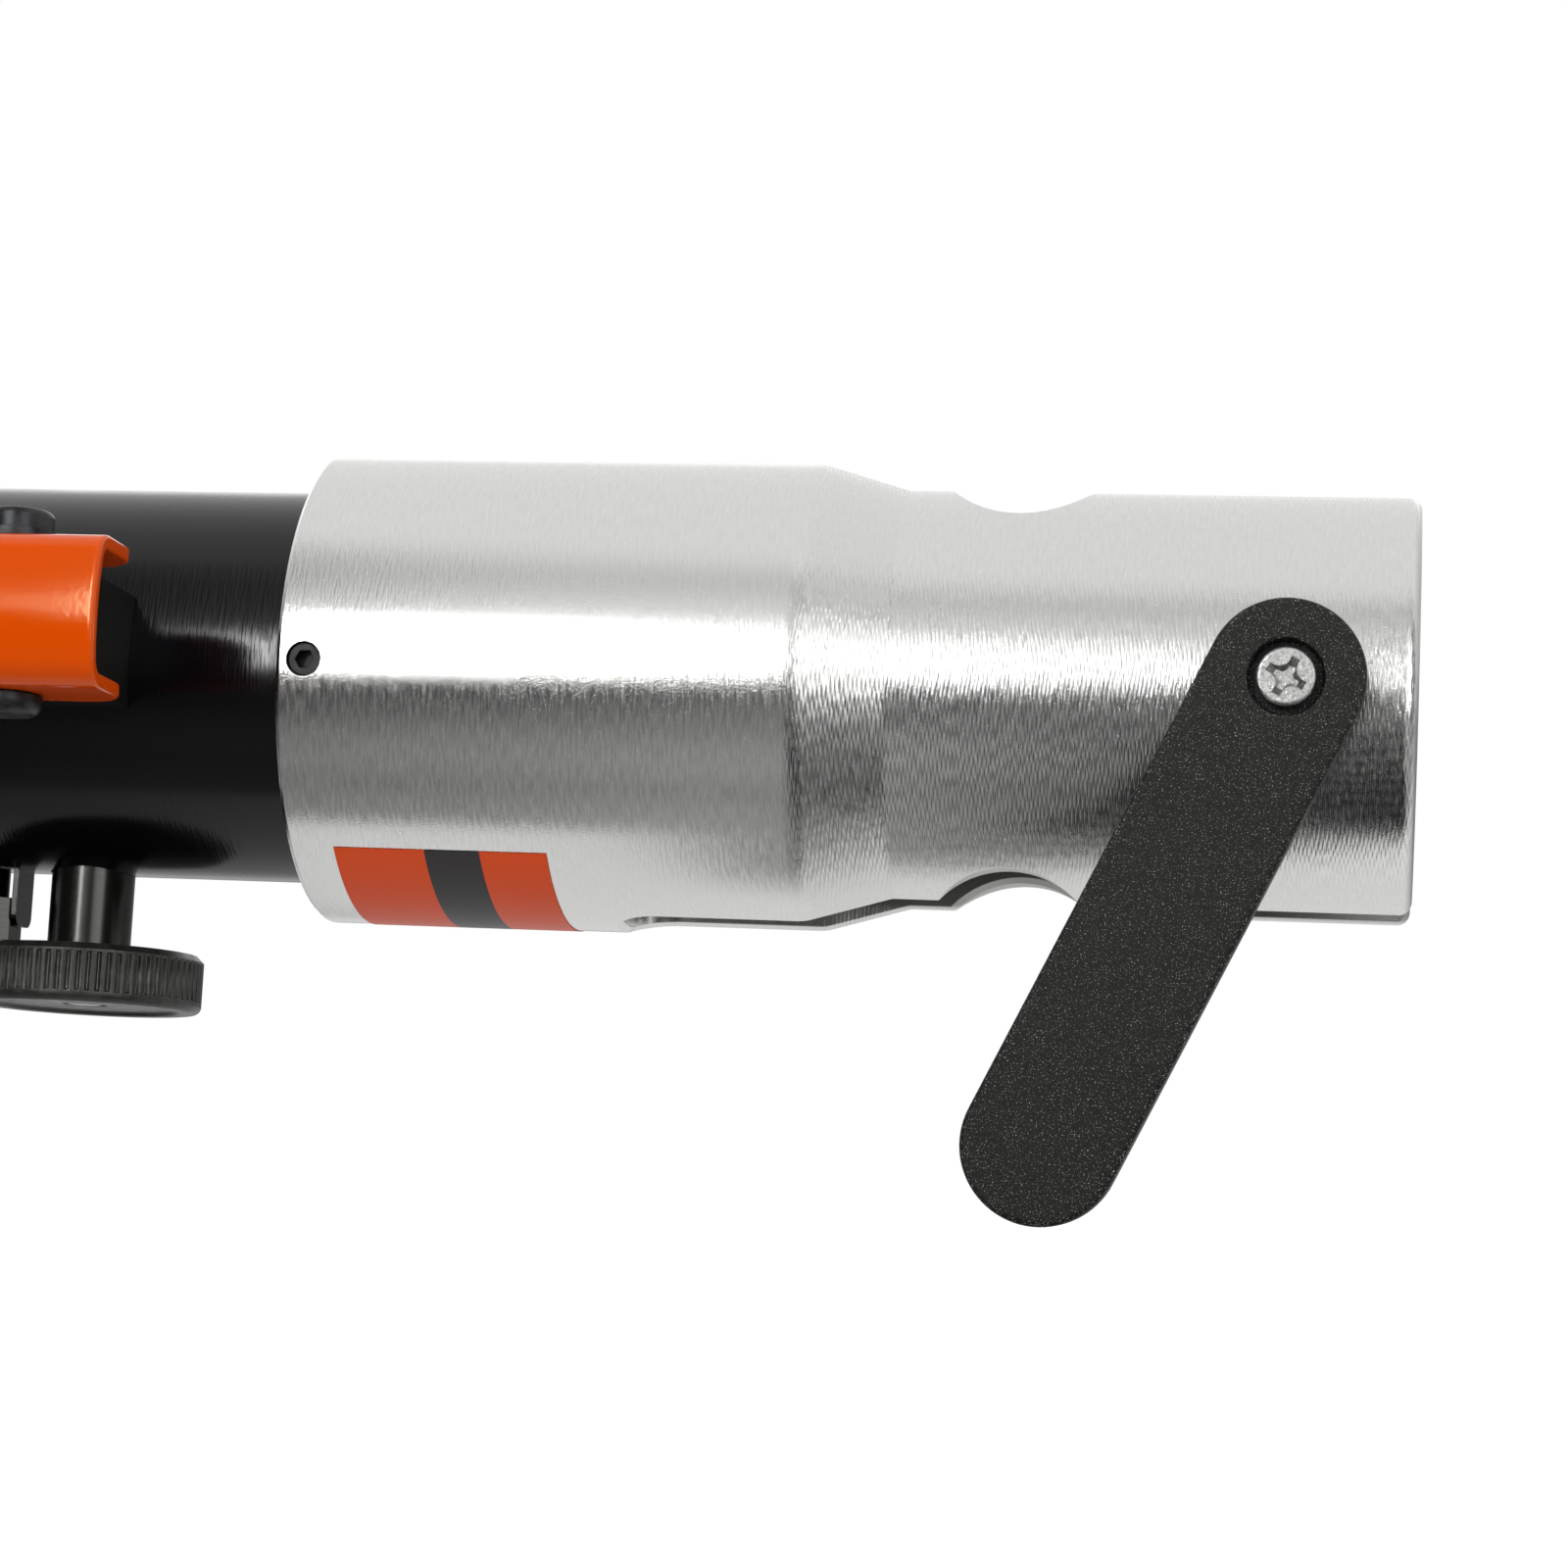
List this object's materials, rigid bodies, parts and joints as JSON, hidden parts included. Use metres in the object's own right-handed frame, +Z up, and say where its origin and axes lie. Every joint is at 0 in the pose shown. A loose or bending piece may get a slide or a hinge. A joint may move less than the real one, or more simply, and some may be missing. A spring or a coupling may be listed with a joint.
{
  "type": "hydraulic crimping tool",
  "caption": "Hand-pumped hydraulic crimper with a swivelling slotted aluminium head for exchangeable jaws, a removable jaw pin with lever, roller ram, release knob and long handles.",
  "frame": {"origin": "where the jaw pin's axis crosses the tool's axis, in the middle of the jaw slot", "axes": "+X along the tool from the handles to the jaw end, -Y the side of the latch lever and pump lever, +Z up with the release knob below"},
  "size_m": [0.6055, 0.1249, 0.1331],
  "materials": {
    "turned_aluminium": "fine turned",
    "black_body_steel": "satin blackened",
    "black_lever_coat": "matt textured powder coat",
    "orange_paint": "semi-gloss enamel",
    "zinc_steel": "zinc plated",
    "hard_steel": "ground",
    "black_oxide_steel": "black oxide",
    "knob_phosphate": "phosphated",
    "grip_rubber": "matt",
    "seal_rubber": "smooth",
    "spring_steel": "drawn wire"
  },
  "bodies": {
    "body": {"pump_body": "black_body_steel", "cylinder_gland": "black_oxide_steel", "rod_seal": "seal_rubber", "return_spring": "spring_steel", "fulcrum_bolt": "black_oxide_steel", "fulcrum_nut": "black_oxide_steel", "fulcrum_washer": "black_oxide_steel", "fulcrum_lug": "black_body_steel", "pump_barrel": "black_oxide_steel", "plunger_seal": "seal_rubber", "check_balls": "hard_steel", "relief_plug": "black_oxide_steel", "relief_spring": "spring_steel", "lock_tab": "zinc_steel", "reservoir_tube": "black_body_steel", "bladder_spigot": "hard_steel", "oil_bladder": "seal_rubber", "tube_plug": "hard_steel", "fixed_grip": "grip_rubber"},
    "head": {"head_housing": "turned_aluminium", "head_lock_screw": "black_oxide_steel"},
    "ram": {"ram": "hard_steel", "piston_seal": "seal_rubber", "roller_carrier": "black_oxide_steel", "roller_axles": "hard_steel"},
    "roller_lower": {"roller_lower": "hard_steel"},
    "roller_upper": {"roller_upper": "hard_steel"},
    "jaw_pin": {"jaw_pin": "hard_steel"},
    "latch_lever": {"latch_lever": "black_lever_coat", "latch_screw": "zinc_steel"},
    "pump_lever": {"pump_yoke": "orange_paint", "lever_tube": "orange_paint", "yoke_rivets": "zinc_steel", "moving_grip": "grip_rubber"},
    "plunger": {"pump_plunger": "hard_steel", "plunger_pin": "hard_steel", "plunger_clips": "spring_steel"},
    "release_valve": {"release_stem": "black_oxide_steel", "stem_seal": "seal_rubber", "release_knob": "knob_phosphate", "knob_screw": "black_oxide_steel"}
  },
  "joints": [
    {"name": "head_swivel", "type": "hinge", "parent": "body", "child": "head", "pos_m": [-0.148, 0, 0], "axis": [1, 0, 0], "continuous": true},
    {"name": "ram_stroke", "type": "slide", "parent": "head", "child": "ram", "axis": [1, 0, 0], "range_m": [0, 0.034], "stiffness_N_per_m": 2000, "springref_m": -0.02, "deforming": ["return_spring"]},
    {"name": "roller_lower_spin", "type": "hinge", "parent": "ram", "child": "roller_lower", "pos_m": [-0.088, 0, -0.0104], "axis": [0, 1, 0], "continuous": true},
    {"name": "roller_upper_spin", "type": "hinge", "parent": "ram", "child": "roller_upper", "pos_m": [-0.088, 0, 0.0104], "axis": [0, 1, 0], "continuous": true},
    {"name": "jaw_pin_pull", "type": "slide", "parent": "head", "child": "jaw_pin", "axis": [0, -1, 0], "range_m": [0, 0.08]},
    {"name": "latch_lever_turn", "type": "hinge", "parent": "jaw_pin", "child": "latch_lever", "pos_m": [0, 0, 0], "axis": [0, 1, 0], "continuous": true},
    {"name": "pump_lever_swing", "type": "hinge", "parent": "body", "child": "pump_lever", "pos_m": [-0.21, -0.06595, 0.00253], "axis": [0, 0.0384, 0.9993], "range_deg": [0, 28]},
    {"name": "plunger_stroke", "type": "slide", "parent": "body", "child": "plunger", "axis": [0, -0.9993, 0.0384], "range_m": [0, 0.0166]},
    {"name": "release_knob_turn", "type": "hinge", "parent": "body", "child": "release_valve", "pos_m": [-0.216, 0, 0], "axis": [0, -0.0384, -0.9993], "range_deg": [0, 180]}
  ],
  "couplings": [
    {"joint": "plunger_stroke", "follows": "pump_lever_swing", "m_per_rad": 0.0338}
  ]
}
